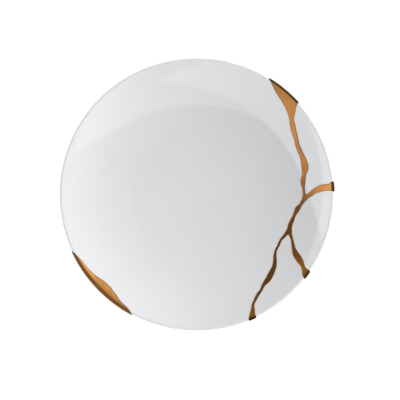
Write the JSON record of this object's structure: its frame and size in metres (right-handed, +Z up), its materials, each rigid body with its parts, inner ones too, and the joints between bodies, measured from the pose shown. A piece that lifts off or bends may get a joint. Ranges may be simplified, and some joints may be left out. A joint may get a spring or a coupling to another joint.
{
  "type": "kintsugi plate",
  "caption": "Round coupe dinner plate in white glazed porcelain, broken and mended with gold lacquer along its break lines and rim chips.",
  "frame": {"origin": "centre of the foot ring's face, on which the plate rests", "axes": "+Z up out of the dish, +X towards the mended side with the four break lines, +Y towards the upper rim chip"},
  "size_m": [0.2703, 0.27, 0.0323],
  "materials": {
    "porcelain": "gloss",
    "gold_lacquer": "satin"
  },
  "bodies": {
    "root": {"main_shard": "porcelain", "upper_right_shard": "porcelain", "right_shard": "porcelain", "lower_shard": "porcelain", "gold_seams": "gold_lacquer", "gold_rim_fill": "gold_lacquer"}
  },
  "joints": []
}
